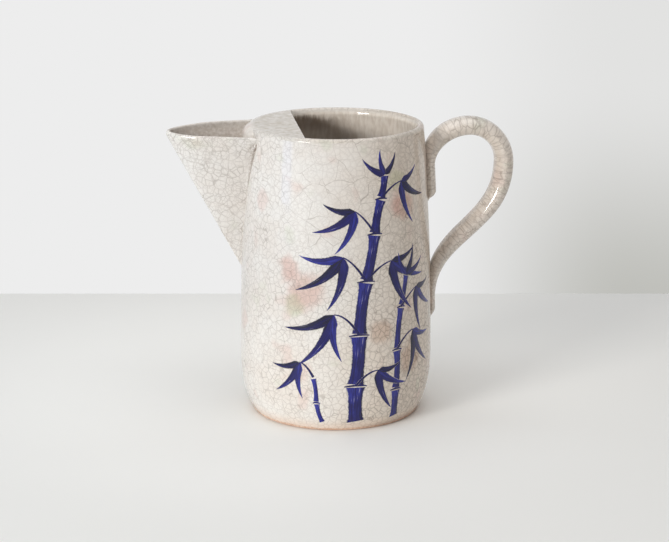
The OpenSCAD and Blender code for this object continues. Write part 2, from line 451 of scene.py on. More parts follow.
def spout_mesh():
    skin = Skin()
    rows = []
    inside = []
    stain = []
    for share, inset, lift in spout_rows():
        left, right = (turn_at_wall(share, side, SPOUT_SINK, inset, lift) for side in (-1, 1))
        turns = spread(-left, right, SPOUT_SIDES + 1)
        row = [spout_point(share, turn, inset, lift) for turn in turns]
        rows.append(skin.row(row))
        for point in row:
            reach = math.hypot(point.x, point.y) - outer_r(point.z)
            stain.append(0.0 if inset else seam_stain(reach, share))
        deep = SPOUT_BROWN * ease((1.05 - share) * SPOUT_H / SPOUT_FADE) if inset == 1.0 else 0.0
        deep = max(deep, RIM_BROWN * ease((inset - 0.45) / 0.3))
        inside.extend([deep] * (SPOUT_SIDES + 1))
    for low, high in zip(rows, rows[1:]):
        skin.join(low, high, wrap=False)
    skin.cap(rows[0], flip=True)
    skin.cap(rows[-1])
    skin.cap([row[0] for row in rows])
    skin.cap([row[-1] for row in rows], flip=True)
    for side in (-1, 1):
        stain.extend(add_spout_lap(skin, side))
    inside.extend([0.0] * (len(stain) - len(inside)))
    skin.points = [Vector((-point.x, point.y, point.z)) for point in skin.points]
    skin.faces = [face[::-1] for face in skin.faces]
    return skin.mesh("spout", inside=inside, stain=stain)


# Cut edge of the spout's slab, where it laps on the wall
LAP_LOW_Z = 122.0
LAP_SHORT = 0.3
LAP_ROWS = 34
LAP_LENGTH = 1.0
LAP_HEIGHT = 1.7
LAP_GROW_RUN = 34.0
LAP_ROUND_RUN = 2.6
LAP_STEP_BACK = 0.06
LAP_REACH = 2.6
LAP_SINK = 1.0
LAP_BACK = 2.6
LAP_COVER = 1.6
LAP_STAIN = (0.7, 1.0, 1.0, 1.0)


def lap_size(z, top_z, side):
    """Length along the wall and height of the lap, which grows upwards and rounds off at its top."""
    grow = ease((z - LAP_LOW_Z) / LAP_GROW_RUN)
    top_round = 1.0 - ease((z - top_z + LAP_ROUND_RUN) / 2.8) * 0.75
    length = LAP_LENGTH * grow * top_round + 0.15 * noise.noise(Vector((z / 5.0, side * 3.0, 1.0)))
    return length, LAP_HEIGHT * mix(0.25, 1.0, grow) * top_round


def lap_fillet(length, height, tilt):
    """Hollow curve from the spout's flank down to the lap, as (out along the wall, up from it)."""
    corners = ((tilt * height * LAP_REACH + 0.05, height * LAP_REACH),
               (0.1, height * 1.05), (length * 0.7, height))
    curve = [Vector(corner) for corner in corners]
    return [bezier(curve, t) for t in spread(0.0, 1.0, 7)]


def lap_ring(z, top_z, side):
    """Points round the lap at a height, and how brown each of them is."""
    share = min(1.0, (z - SPOUT_ROOT_Z) / SPOUT_H)
    turn = turn_at_wall(share, side)
    seam = spout_point(share, side * turn)
    before = spout_point(share, side * (turn - LAP_STEP_BACK))
    wall = outer_r(z)
    angle = math.atan2(seam.y, seam.x)
    tilt = (abs(math.atan2(before.y, before.x)) - abs(angle)) * wall
    tilt /= math.hypot(before.x, before.y) - wall
    length, height = lap_size(z, top_z, side)
    fillet = lap_fillet(length, height, tilt)
    edge = [(length, height * 0.9), (0.3 + length, height * 0.62),
            (0.4 + length, height * 0.2), (0.3 + length, -LAP_SINK)]
    section = [(-LAP_BACK, -LAP_SINK), (fillet[0][0] - LAP_COVER, fillet[0][1])] + fillet + edge
    points = [polar(wall + up, angle + side * out / wall, z) for out, up in section]
    faint = mix(0.15, 1.0, ease((z - top_z) / SEAM_STAIN_RUN + 1.0))
    brown = [0.0, 0.0] + [seam_stain(up, share) for _, up in fillet]
    brown.extend(dark * faint for dark in LAP_STAIN)
    return (points, brown) if side > 0 else (points[::-1], brown[::-1])


def add_spout_lap(skin, side):
    """Adds the lap on one side of the spout; returns how brown its points are."""
    top_turn = turn_at_wall(1.0, side)
    top_z = spout_point(1.0, side * top_turn).z - LAP_SHORT
    rows = []
    stain = []
    for z in spread(LAP_LOW_Z, top_z, LAP_ROWS):
        points, brown = lap_ring(z, top_z, side)
        rows.append(skin.row(points))
        stain.extend(brown)
    skin.tube(rows)
    return stain


# Ice guard

NOSE_HALF_W = flank_y((BODY_H - APRON_H - SPOUT_ROOT_Z) / SPOUT_H) - SPOUT_RIM_T - NOSE_GAP
GUARD_STEPS = 150
GUARD_SWEEP = math.radians(76)
GUARD_ROUND = 0.4
GUARD_INSET = 2.0
NOSE_ROUND = 6.4
NOSE_COVER = 0.2
GUARD_HUB_R = 14.0
GUARD_FLAT = 8.0
GUARD_SETTLE = 5.0
GUARD_DIP = 0.22
GUARD_DIP_RUN = 11.0
CHORD_BEVEL = 0.7


def guard_nose(y):
    """How far the nose stands out of the wall at a distance from the middle."""
    share = min(1.0, abs(y) / NOSE_HALF_W)
    return NOSE_OUT * (1 - share ** 3) ** 0.7


def guard_top(x, y):
    """Slight dips and swells of the hand-pressed plate."""
    return GUARD_DIP * noise.noise(Vector((x / GUARD_DIP_RUN, y / GUARD_DIP_RUN, 9.0)))


def guard_section(angle):
    """Closed loop of (radius, height): under the plate, up its outer edge and back over the top."""
    wall = skin_r(angle, GUARD_Z)
    nose = guard_nose(wall * math.sin(angle))
    share = ease(nose / NOSE_OUT * 1.5)
    low = BODY_H - APRON_H
    edge = mix(wall - GUARD_INSET, wall + nose, share)
    loop = [(GUARD_HUB_R, GUARD_Z), (wall - GUARD_FLAT, GUARD_Z)]
    plain = [(-1.0, 0.0), (-0.4, 0.0), (-0.1, 0.5), (0.0, 1.0), (0.0, 2.0)]
    nosed = [(-5.0, 1.0), (-1.8, 0.0), (-0.6, 0.3), (-0.1, 1.2), (0.0, 2.4)]
    for (plain_r, plain_z), (nosed_r, nosed_z) in zip(plain, nosed):
        loop.append((edge + mix(plain_r, nosed_r, share), mix(GUARD_Z + plain_z, low + nosed_z, share)))
    radius = mix(GUARD_ROUND, NOSE_ROUND, share)
    top = BODY_H + NOSE_COVER * share
    for a in spread(0.0, math.pi / 2, 10):
        loop.append((edge - radius * (1 - math.cos(a)), top - radius * (1 - math.sin(a))))
    last_r = loop[-1][0]
    for r in spread(last_r, GUARD_HUB_R, 26)[1:]:
        swell = guard_top(r * math.cos(angle), r * math.sin(angle))
        loop.append((r, mix(top, BODY_H + swell, ease((last_r - r) / GUARD_SETTLE))))
    return loop


def guard_cutter():
    """Block beyond the straight edge of the guard."""
    skin = Skin()
    far, wide, spare = 60.0, 90.0, 20.0
    corners = ((-GUARD_EDGE, -wide), (far, -wide), (far, wide), (-GUARD_EDGE, wide))
    heights = (GUARD_Z - spare, BODY_H + spare)
    skin.tube([skin.row([Vector((x, y, z)) for x, y in corners]) for z in heights])
    return skin.mesh("guard_cutter")


def guard_mesh():
    skin = Skin()
    rows = []
    inside = []
    stain = []
    for angle in spread(math.pi - GUARD_SWEEP, math.pi + GUARD_SWEEP, GUARD_STEPS):
        section = guard_section(angle)
        rows.append(skin.row([polar(r, angle, z) for r, z in section]))
        inside.extend([1.0, 1.0] + [0.0] * (len(section) - 2))
        stain.extend(ease((RIM_R - 1.0 - r) / 3.0) for r, z in section)
    skin.tube(rows, flip=True)
    return cut(skin.mesh("ice_guard", inside=inside, stain=stain), guard_cutter(), CHORD_BEVEL)


# Handle

STRAP_SIDES = 72
STRAP_FACE_POWER = 2.8
STRAP_EDGE_POWER = 1.5
STRAP_STRAY = 0.28
STRAP_STRAY_RUN = 22.0
STRAP_STRAY_SIDE = 9.0
TAIL_SINK = 2.0
TAIL_TIP = 0.12
ROUND_PULL = 0.5523


def tail_station(z, end_z, tail_t, width):
    """Station of the strap on the wall: place (x, z), thickness and width."""
    rise = mix(TAIL_TIP, 1.0, ease((z - end_z) / (TAIL_BEVEL * 1.3)))
    face = tail_t * rise
    middle = Vector((outer_r(z) + (face - TAIL_SINK) / 2, z))
    return middle, face + TAIL_SINK, width * mix(0.8, 1.0, rise)


def quarter_round(start, corner, end):
    """Curve from start to end that goes round a corner as a circle would."""
    return start, mix(start, corner, ROUND_PULL), mix(end, corner, ROUND_PULL), end


def handle_stations():
    leave = tail_station(UPPER_TURN_Z, *UPPER_TAIL)
    land = tail_station(LOWER_TURN_Z, *LOWER_TAIL)
    top = Vector((HANDLE_TOP_X, HANDLE_TOP_Z - GRIP_T / 2))
    bulge = Vector((HANDLE_REACH - BULGE_T / 2, BULGE_Z))
    rising = quarter_round(leave[0], Vector((leave[0].x, top.y)), top)
    falling = quarter_round(top, Vector((bulge.x, top.y)), bulge)
    sweeping = (bulge, bulge - Vector((0.0, BULGE_PULL)), land[0] + Vector((0.0, LOWER_PULL)), land[0])
    stations = [tail_station(z, *UPPER_TAIL) for z in spread(UPPER_END_Z, UPPER_TURN_Z, 18)[:-1]]
    for t in spread(0.0, 1.0, 34)[:-1]:
        stations.append((bezier(rising, t), mix(leave[1], GRIP_T, ease(t ** 0.7)), GRIP_W))
    for t in spread(0.0, 1.0, 30)[:-1]:
        stations.append((bezier(falling, t), mix(GRIP_T, BULGE_T, ease(t)), GRIP_W))
    for t in spread(0.0, 1.0, 70)[:-1]:
        stations.append((bezier(sweeping, t), mix(BULGE_T, land[1], t ** 2.8), mix(GRIP_W, LOWER_W, t)))
    return stations + [tail_station(z, *LOWER_TAIL) for z in spread(LOWER_TURN_Z, LOWER_END_Z, 14)]


STRAP_CRACK_ALONG = 1.4
STRAP_CRACK_ROUND = 0.32


def handle_mesh():
    skin = Skin()
    stations = handle_stations()
    rows = []
    strap = []
    run = 0.0
    for k, (centre, thickness, width) in enumerate(stations):
        ahead = stations[min(k + 1, len(stations) - 1)][0]
        behind = stations[max(k - 1, 0)][0]
        along = (ahead - behind).normalized()
        run += (centre - behind).length
        row = []
        for i in range(STRAP_SIDES):
            turn = 2 * math.pi * i / STRAP_SIDES
            round_run = (turn - math.pi) * width / 2
            strap.extend((run * STRAP_CRACK_ALONG * MM, round_run * STRAP_CRACK_ROUND * MM, 0.0))
            out = thickness / 2 * signed_power(math.cos(turn), 2 / STRAP_EDGE_POWER)
            side = width / 2 * signed_power(math.sin(turn), 2 / STRAP_FACE_POWER)
            at = (centre.x / STRAP_STRAY_RUN, side / STRAP_STRAY_SIDE, centre.y / STRAP_STRAY_RUN)
            stray = STRAP_STRAY * noise.noise(Vector(at))
            out += stray * math.cos(turn)
            side += stray * math.sin(turn)
            row.append(Vector((centre.x + along.y * out, side, centre.y - along.x * out)))
        rows.append(skin.row(row))
    skin.tube(rows, flip=True)
    mesh = skin.mesh("handle")
    mesh.attributes.new("strap", "FLOAT_VECTOR", "POINT").data.foreach_set("vector", strap)
    return mesh


# Shader helpers

def new_node(tree, kind, **settings):
    node = tree.nodes.new("ShaderNode" + kind)
    for key, value in settings.items():
        setattr(node, key, value)
    return node


def is_socket(value):
    return isinstance(value, bpy.types.NodeSocket)


def fill(node, inputs):
    """Links or sets the inputs of a node."""
    for key, value in inputs.items():
        if is_socket(value):
            node.id_data.links.new(value, node.inputs[key])
        else:
            node.inputs[key].default_value = value


def put(kind, inputs, **settings):
    """New node in the tree that its inputs come from."""
    tree = next(filter(is_socket, inputs.values())).id_data
    node = new_node(tree, kind, **settings)
    fill(node, inputs)
    return node


def calc(operation, a, b=0.0, clamp=False):
    return put("Math", {0: a, 1: b}, operation=operation, use_clamp=clamp).outputs[0]


def times(first, *others):
    for other in others:
        first = calc("MULTIPLY", first, other)
    return first


def plus(first, *others):
    for other in others:
        first = calc("ADD", first, other)
    return first


def minus(a, b):
    return calc("SUBTRACT", a, b)


def vector(operation, a, b, output=0):
    return put("VectorMath", {0: a, 1: b}, operation=operation).outputs[output]


def scaled(where, factor):
    return put("VectorMath", {0: where, "Scale": factor}, operation="SCALE").outputs[0]


def own_place(tree):
    return new_node(tree, "TexCoord").outputs["Object"]


def millimetres(where):
    """X, Y and Z of a place, in millimetres."""
    return put("SeparateXYZ", {0: scaled(where, 1 / MM)}).outputs


def stored(tree, name, output="Fac"):
    """Number or place that a mesh holds for its points."""
    return new_node(tree, "Attribute", attribute_name=name).outputs[output]


def ragged(value, amount):
    """Noise from 0 to 1 turned into shifts about zero."""
    return times(minus(value, 0.5), amount)


def slope(value, low, high, start=0.0, end=1.0):
    """Smooth step from start to end as the value goes from low to high."""
    inputs = {"Value": value, "From Min": low, "From Max": high, "To Min": start, "To Max": end}
    return put("MapRange", inputs, interpolation_type="SMOOTHSTEP").outputs[0]


def blend(share, a, b, how="MIX"):
    inputs = {0: share, 6: a, 7: b}
    return put("Mix", inputs, data_type="RGBA", blend_type=how, clamp_factor=True).outputs[2]


def colour(red, green, blue):
    """Linear colour from the 0 to 255 values of a screen."""
    def linear(value):
        value /= 255
        return value / 12.92 if value <= 0.04045 else ((value + 0.055) / 1.055) ** 2.4
    return (linear(red), linear(green), linear(blue), 1.0)


def grain(where, size, detail=3.0, offset=(0.0, 0.0, 0.0)):
    """Noise whose lumps are about size millimetres, from 0 to 1."""
    shifted = vector("ADD", where, offset)
    inputs = {"Vector": shifted, "Scale": 1 / (size * MM), "Detail": detail, "Roughness": 0.55}
    return put("TexNoise", inputs).outputs["Fac"]


def bent_place(where, size, amount):
    """Coordinates shaken by noise, so that lines drawn in them wander."""
    inputs = {"Vector": where, "Scale": 1 / (size * MM), "Detail": 2.0}
    shake = put("TexNoise", inputs).outputs["Color"]
    centred = vector("SUBTRACT", shake, (0.5, 0.5, 0.5))
    return vector("ADD", where, scaled(centred, amount * MM))


def cracks(where, cell, line, soft):
    """1 on the lines of a crack network and 0 between, with cells and lines in millimetres."""
    inputs = {"Vector": where, "Scale": 1 / (cell * MM), "Randomness": 1.0}
    distance = put("TexVoronoi", inputs, feature="DISTANCE_TO_EDGE").outputs["Distance"]
    return slope(distance, line / cell, (line + soft) / cell, 1.0, 0.0)


# Glaze

GLAZE_PALE = colour(233, 230, 226)
GLAZE_WARM = colour(228, 222, 216)
GLAZE_PINK = colour(220, 196, 188)
GLAZE_GREEN = colour(208, 211, 194)
GLAZE_TAN = colour(219, 205, 190)
CRACK_BROWN = colour(122, 105, 92)
INSIDE_PALE = colour(250, 241, 230)
INSIDE_BROWN = colour(108, 84, 62)
SPOUT_DEEP = colour(174, 158, 143)
STAIN_BROWN = colour(148, 134, 122)
GUARD_GREY = colour(183, 172, 154)
CLAY = colour(233, 205, 184)
CLAY_DARK = colour(208, 168, 142)
FOOT_BLUSH = colour(240, 212, 190)
# Painted light: brightening of the lower body
LOW_PAINTED_LIGHT = (1.11, 1.09, 1.06, 1.0)
RIM_SHADE = (0.91, 0.92, 0.92, 1.0)
# Painted shadow at the foot, on the handle's side
FOOT_SHADE = (0.80, 0.77, 0.76, 1.0)

# Cell sizes of the three crack networks, in millimetres
CELL_LARGE = 12.4
CELL_MID = 4.1
CELL_TINY = 2.6

# How much finer the crackle is on the body than on the other pieces
BODY_FINER = 1.2


def network(where, bend, cell, line, soft, patches, share):
    """Network of wandering cracks, stronger in patches, which are a size, an offset and a slope."""
    size, offset, *steps = patches
    patchy = slope(grain(where, size, offset=offset), *steps)
    lines = cracks(bent_place(where, *bend), cell, line, soft)
    return times(patchy, share, lines)


def crack_lines(where, large, fine, strength):
    """Share of crack lines: coarse where large is 1, of middle size elsewhere, and a fine network."""
    coarse = network(where, (8.0, 3.0), CELL_LARGE, 0.045, 0.2,
                     (15.0, (0.0, 0.0, 0.0), 0.36, 0.58, 0.25, 1.0), slope(large, 0.0, 1.0, 0.2, 0.42))
    middle = network(where, (5.0, 1.5), CELL_MID, 0.04, 0.2,
                     (9.0, (0.3, 0.1, 0.7), 0.34, 0.62, 0.16, 0.42), slope(large, 0.0, 1.0, 1.0, 0.3))
    small = network(where, (3.0, 0.9), CELL_TINY, 0.03, 0.16,
                    (18.0, (0.9, 0.4, 0.2), 0.38, 0.62, 0.12, 0.34), fine)
    lines = calc("MAXIMUM", coarse, calc("MAXIMUM", middle, small))
    return calc("MULTIPLY", lines, strength, clamp=True)


def glaze_group():
    """Node group of the crackle glaze: warmth, coarse and fine cracks, strength of their lines."""
    tree = bpy.data.node_groups.new("crackle_glaze", "ShaderNodeTree")
    tree.interface.new_socket("Place", in_out="INPUT", socket_type="NodeSocketVector")
    for name in ("Tan", "Large", "Fine", "Lines"):
        tree.interface.new_socket(name, in_out="INPUT", socket_type="NodeSocketFloat")
    for name, kind in (("Color", "Color"), ("Roughness", "Float"), ("Height", "Float")):
        tree.interface.new_socket(name, in_out="OUTPUT", socket_type="NodeSocket" + kind)
    given = tree.nodes.new("NodeGroupInput").outputs
    where = given["Place"]
    lines = crack_lines(where, given["Large"], given["Fine"], given["Lines"])

    tone = blend(slope(grain(where, 34.0), 0.35, 0.68), GLAZE_PALE, GLAZE_WARM)
    tone = blend(given["Tan"], tone, GLAZE_TAN)
    pink = slope(grain(where, 20.0, 1.0, (0.5, 0.2, 0.9)), 0.60, 0.74, 0.0, 0.5)
    tone = blend(pink, tone, GLAZE_PINK)
    green = slope(grain(where, 18.0, 1.0, (0.1, 0.8, 0.3)), 0.64, 0.78, 0.0, 0.45)
    tone = blend(green, tone, GLAZE_GREEN)
    speck = slope(grain(where, 0.9, 1.0), 0.71, 0.79, 0.0, 0.22)
    tone = blend(speck, tone, CRACK_BROWN)
    halo = cracks(bent_place(where, 5.0, 1.5), CELL_MID, 0.1, 0.8)
    browning = plus(times(given["Tan"], 0.16), 0.05)
    tone = blend(times(halo, browning), tone, CRACK_BROWN)
    tone = blend(lines, tone, CRACK_BROWN)

    rough = slope(grain(where, 6.0), 0.3, 0.75, 0.02, 0.05)
    rough = plus(rough, times(lines, 0.25))
    swell = times(grain(where, 9.0, 1.0), 0.6)
    height = minus(swell, times(lines, 0.10))
    result = tree.nodes.new("NodeGroupOutput")
    fill(result, {"Color": tone, "Roughness": rough, "Height": height})
    return tree


def new_material(name):
    material = bpy.data.materials.new(name)
    material.use_nodes = True
    tree = material.node_tree
    return material, tree, tree.nodes["Principled BSDF"]


def use_glaze(where, tan, large, fine, lines=1.0):
    inputs = {"Place": where, "Tan": tan, "Large": large, "Fine": fine, "Lines": lines}
    return put("Group", inputs, node_tree=GLAZE).outputs


def dress(shader, tone, rough, height, depth=0.12):
    """Joins colour, roughness and relief to the shader."""
    bump = put("Bump", {"Height": height, "Strength": 0.5, "Distance": depth * MM}).outputs[0]
    fill(shader, {"Base Color": tone, "Roughness": rough, "Normal": bump, "IOR": 1.5})


# Heights between which the rim is made darker
RIM_BAND = (BODY_H - 3.0, BODY_H - 0.5)


def body_zones(where):
    """Where the body's glaze is browner, towards the handle, and its cracks are coarse, up high."""
    at = millimetres(where)
    tan = slope(at["X"], -20.0, 50.0, 0.0, 0.75)
    rim = times(slope(at["Z"], *RIM_BAND), slope(at["X"], -32.0, -14.0, 0.15, 0.55))
    level = plus(at["Z"], ragged(grain(where, 26.0), 90.0))
    large = times(slope(level, 84.0, 112.0), slope(at["X"], -42.0, -18.0))
    return calc("MAXIMUM", tan, rim), large, at


def bare_foot(where, height, inside):
    """Share of bare clay below the ragged lower edge of the glaze."""
    level = plus(height, ragged(grain(where, 7.0), 2.0))
    bare = slope(level, 1.3, 2.0, 1.0, 0.0)
    return times(bare, calc("SUBTRACT", 1.0, inside, clamp=True))


def add_washes(where, tone):
    """Soft dabs of thin colour under the glaze."""
    bent = bent_place(where, 9.0, 9.0)
    for s, z, radius, tint in WASHES:
        centre = wall_point(s, z, 0.0) * MM
        reach = vector("DISTANCE", bent, centre, "Value")
        share = slope(reach, radius * 0.4 * MM, radius * MM, 1.0, 0.0)
        tone = blend(share, tone, tint, "MULTIPLY")
    return tone


def clay_tone(where):
    return blend(slope(grain(where, 1.3), 0.35, 0.7), CLAY, CLAY_DARK)


def mouth_painted_shadow_and_brown(at, runs):
    """Share of brown inside: a ragged band of painted shadow below the rim, darkest by the guard, whose
    cast shadow it paints, and the deep well.
    """
    depth = minus(BODY_H, at["Z"])
    corner = slope(at["X"], -13.0, -2.0, 1.8, 0.0)
    start = plus(depth, ragged(runs, 5.0), corner)
    shadow_band = times(slope(start, 4.3, 7.8), slope(depth, 9.0, 15.0, 0.72, 0.46))
    # The painted shadow's lower edge runs down to the right, as the guard's cast shadow does
    rightwards = minus(at["X"], slope(depth, 9.0, 16.0, 0.0, 13.0))
    shadow_band = times(shadow_band, slope(rightwards, -2.0, 14.0, 1.0, 0.06))
    return calc("MAXIMUM", shadow_band, slope(depth, 16.0, 60.0, 0.0, 0.8))


def inside_tone(where, at, within, tone):
    """The tone with the streaky glaze of the inside laid over it, and the mouth's painted shadow and
    brown.
    """
    runs = grain(vector("MULTIPLY", where, (1.0, 1.0, 0.3)), 2.0)
    mottled = blend(slope(runs, 0.3, 0.7, 0.0, 0.7), INSIDE_PALE, GLAZE_TAN)
    tone = blend(within, tone, mottled)
    return blend(times(within, mouth_painted_shadow_and_brown(at, runs)), tone, INSIDE_BROWN, "MULTIPLY")


def body_material():
    """Crackle glaze, browner down inside, that runs out to bare clay at the foot; painted shadow below
    the guard inside, painted light on the lower body, and painted shadow at the foot.
    """
    material, tree, shader = new_material("body_glaze")
    where = own_place(tree)
    inside = stored(tree, "inside")
    tan, large, at = body_zones(where)
    outside = slope(inside, 0.0, INSIDE_START, 1.0, 0.08)
    tan = times(tan, outside)
    lines = times(outside, slope(tan, 0.0, 0.75, 1.0, 1.5))
    look = use_glaze(scaled(where, BODY_FINER), tan, large, 0.6, lines)
    tone = add_washes(where, look["Color"])
    tone = inside_tone(where, at, minus(1.0, outside), tone)
    tone = blend(slope(at["Z"], *RIM_BAND), tone, RIM_SHADE, "MULTIPLY")
    # Painted light: the lower body is brightened, less towards the handle, as if lit from the floor
    low = slope(at["Z"], 12.0, 100.0, 1.0, 0.0)
    low = times(low, outside, slope(tan, 0.35, 0.7, 1.0, 0.2))
    tone = blend(low, tone, LOW_PAINTED_LIGHT, "MULTIPLY")
    bare = bare_foot(where, at["Z"], inside)
    tone = blend(slope(at["Z"], 1.0, 9.0, 0.45, 0.0), tone, FOOT_BLUSH)
    tone = blend(bare, tone, clay_tone(where))
    # Painted shadow: the foot is darkened low down on the handle's side, where the object's shadow falls
    painted_foot_shadow = times(slope(at["Z"], 1.5, 4.5, 1.0, 0.0), slope(at["X"], 0.0, 24.0))
    tone = blend(painted_foot_shadow, tone, FOOT_SHADE, "MULTIPLY")
    rough = calc("ADD", look["Roughness"], times(bare, 0.6), clamp=True)
    dress(shader, tone, rough, look["Height"])
    return material


def glaze_material(name, tan=0.0, large=0.0, fine=0.5, lines=1.0, place_name=None, stained=STAIN_BROWN,
                   patch=1.2, deep=INSIDE_BROWN):
    """Crackle glaze, browner down inside; place_name is a stored place to draw it by."""
    material, tree, shader = new_material(name)
    where = stored(tree, place_name, "Vector") if place_name else own_place(tree)
    inside = stored(tree, "inside")
    stain = stored(tree, "stain")
    strength = slope(inside, 0.0, INSIDE_START, lines, lines * 0.2)
    look = use_glaze(where, tan, large, fine, strength)
    uneven = slope(grain(where, 2.0), 0.3, 0.7, 0.7, 1.2)
    tone = blend(times(inside, uneven), look["Color"], deep, "MULTIPLY")
    patchy = slope(grain(where, patch), 0.34, 0.64, 0.2, 0.9)
    tone = blend(times(stain, patchy), tone, stained)
    dress(shader, tone, look["Roughness"], look["Height"])
    return material


def clay_material():
    """Bare fired clay of the floor, glazed on its upper face."""
    material, tree, shader = new_material("bare_clay")
    where = own_place(tree)
    look = use_glaze(where, 0.6, 0.3, 0.5)
    glazed = slope(millimetres(where)["Z"], 5.2, 5.8)
    clay = clay_tone(where)
    spots = slope(grain(where, 14.0), 0.45, 0.7, 0.0, 0.4)
    clay = blend(spots, clay, CLAY_DARK)
    dim = blend(0.85, look["Color"], INSIDE_BROWN, "MULTIPLY")
    tone = blend(glazed, clay, dim)
    rough = slope(glazed, 0.0, 1.0, 0.82, 0.18)
    inputs = {"Vector": where, "Scale": 130.0, "Distortion": 1.6, "Detail": 2.0}
    ring = put("TexWave", inputs, wave_type="RINGS", rings_direction="Z").outputs["Fac"]
    height = plus(times(ring, 0.4), grain(where, 0.8))
    dress(shader, tone, rough, height, 0.25)
    return material


# Brush decoration: strokes of cobalt on the front of the body, in a plain bamboo design

BLUE_DEEP = colour(14, 11, 52)
BLUE_MID = colour(24, 22, 102)
BLUE_WASH = colour(46, 52, 158)
WASH_PINK = colour(241, 219, 214)
WASH_GREEN = colour(234, 239, 225)
WASH_BROWN = colour(236, 222, 214)
WASHES = (
    (-17.0, 82.0, 14.0, WASH_PINK), (-27.0, 93.0, 9.0, WASH_PINK), (-24.0, 73.0, 8.0, WASH_GREEN),
    (43.0, 126.0, 11.0, WASH_PINK), (37.0, 141.0, 8.0, WASH_GREEN), (26.0, 57.0, 9.0, WASH_BROWN),
    (47.0, 40.0, 12.0, WASH_BROWN),
)
STROKE_LIFT = 0.05
STROKE_STEP = 0.003
STROKE_DEPTH = 0.14
STROKE_ACROSS = 7
STROKE_LOOK = 0.02
STROKE_LEAST = 0.08
STROKE_LOW_Z = 0.6
LEAF_WIDEST = 0.16
CANE_GAP = 0.9
CANE_THINS = 0.09


def wall_point(s, z, lift):
    """Point on the body's outside, s millimetres to the right of the middle of the front."""
    angle = FRONT + s / BELLY_R
    return polar(skin_r(angle, z) + lift, angle, z)


class Brush:
    """Collects the strokes of the decoration as thin closed patches on the wall."""

    def __init__(self):
        self.skin = Skin()
        self.values = {"along": [], "across": [], "tone": []}
        self.count = 0

    def stroke(self, path, width, tone, pieces=24):
        """path and width are functions of t from 0 to 1; tone is how dark the colour is."""
        lift = STROKE_LIFT + STROKE_STEP * self.count
        self.count += 1
        rings = []
        for t in spread(0.0, 1.0, pieces + 1):
            s, z = path(t)
            before = path(max(0.0, t - STROKE_LOOK))
            after = path(min(1.0, t + STROKE_LOOK))
            length = math.hypot(after[0] - before[0], after[1] - before[1])
            side = (-(after[1] - before[1]) / length, (after[0] - before[0]) / length)
            half = max(STROKE_LEAST, width(t) / 2)
            top = []
            bottom = []
            marks = spread(-1.0, 1.0, STROKE_ACROSS)
            for v in marks:
                at = s + side[0] * half * v, max(STROKE_LOW_Z, z + side[1] * half * v)
                top.append(wall_point(*at, lift * (1.0 - 0.5 * v ** 4)))
                bottom.append(wall_point(*at, -STROKE_DEPTH))
            ring = top + bottom[::-1]
            rings.append(self.skin.row(ring))
            self.values["across"].extend(marks + marks[::-1])
            self.values["along"].extend([t] * len(ring))
            self.values["tone"].extend([tone] * len(ring))
        self.skin.tube(rings, flip=True)

    def leaf(self, s, z, length, degrees, width, tone, bend=0.12):
        """Pointed leaf from its stalk; degrees is its direction, 0 to the right and -90 down."""
        a = math.radians(degrees)
        ahead = (math.cos(a), math.sin(a))
        aside = (-ahead[1], ahead[0])

        def path(t):
            sag = bend * length * (4 * t * (1 - t) - t * 0.5)
            return s + ahead[0] * length * t + aside[0] * sag, z + ahead[1] * length * t + aside[1] * sag

        def taper(t):
            narrow = max(0.0, t - LEAF_WIDEST) / (1 - LEAF_WIDEST)
            return width * min(1.0, (t / LEAF_WIDEST) ** 0.7) * (1 - narrow) ** 0.75
        self.stroke(path, taper, tone)

    def cane(self, joints, width, tone):
        """Jointed cane through the given points, one stroke for each length between joints."""
        for k, (low, high) in enumerate(zip(joints, joints[1:])):
            gap = CANE_GAP / math.dist(low, high)
            begin = [mix(a, b, gap) for a, b in zip(low, high)]
            end = [mix(b, a, gap) for a, b in zip(low, high)]
            thin = 1 - CANE_THINS * k

            def path(t, begin=begin, end=end, k=k):
                bow = 0.5 * math.sin(math.pi * t) * (1 if k % 2 else -1)
                return mix(begin[0], end[0], t) + bow, mix(begin[1], end[1], t)

            def waist(t, thin=thin):
                return width * thin * (0.84 + 0.3 * (2 * t - 1) ** 4)
            self.stroke(path, waist, tone)
            if k:
                self.joint(low, width * thin, tone + 0.25)

    def joint(self, at, width, tone):
        """Short dark tick across a joint of a cane."""
        def path(t):
            return at[0] + (t - 0.5) * width * 1.35, at[1] + 0.55 * math.cos(math.pi * (t - 0.5)) - 0.3

        self.stroke(path, lambda t: 1.25 * (0.55 + 0.45 * math.sin(math.pi * t)), tone, pieces=10)

    def twig(self, start, end, bow, width, tone):
        def path(t):
            lift = bow * 4 * t * (1 - t)
            return mix(start[0], end[0], t), mix(start[1], end[1], t) + lift

        self.stroke(path, lambda t: width * (1 - 0.6 * t), tone, pieces=16)


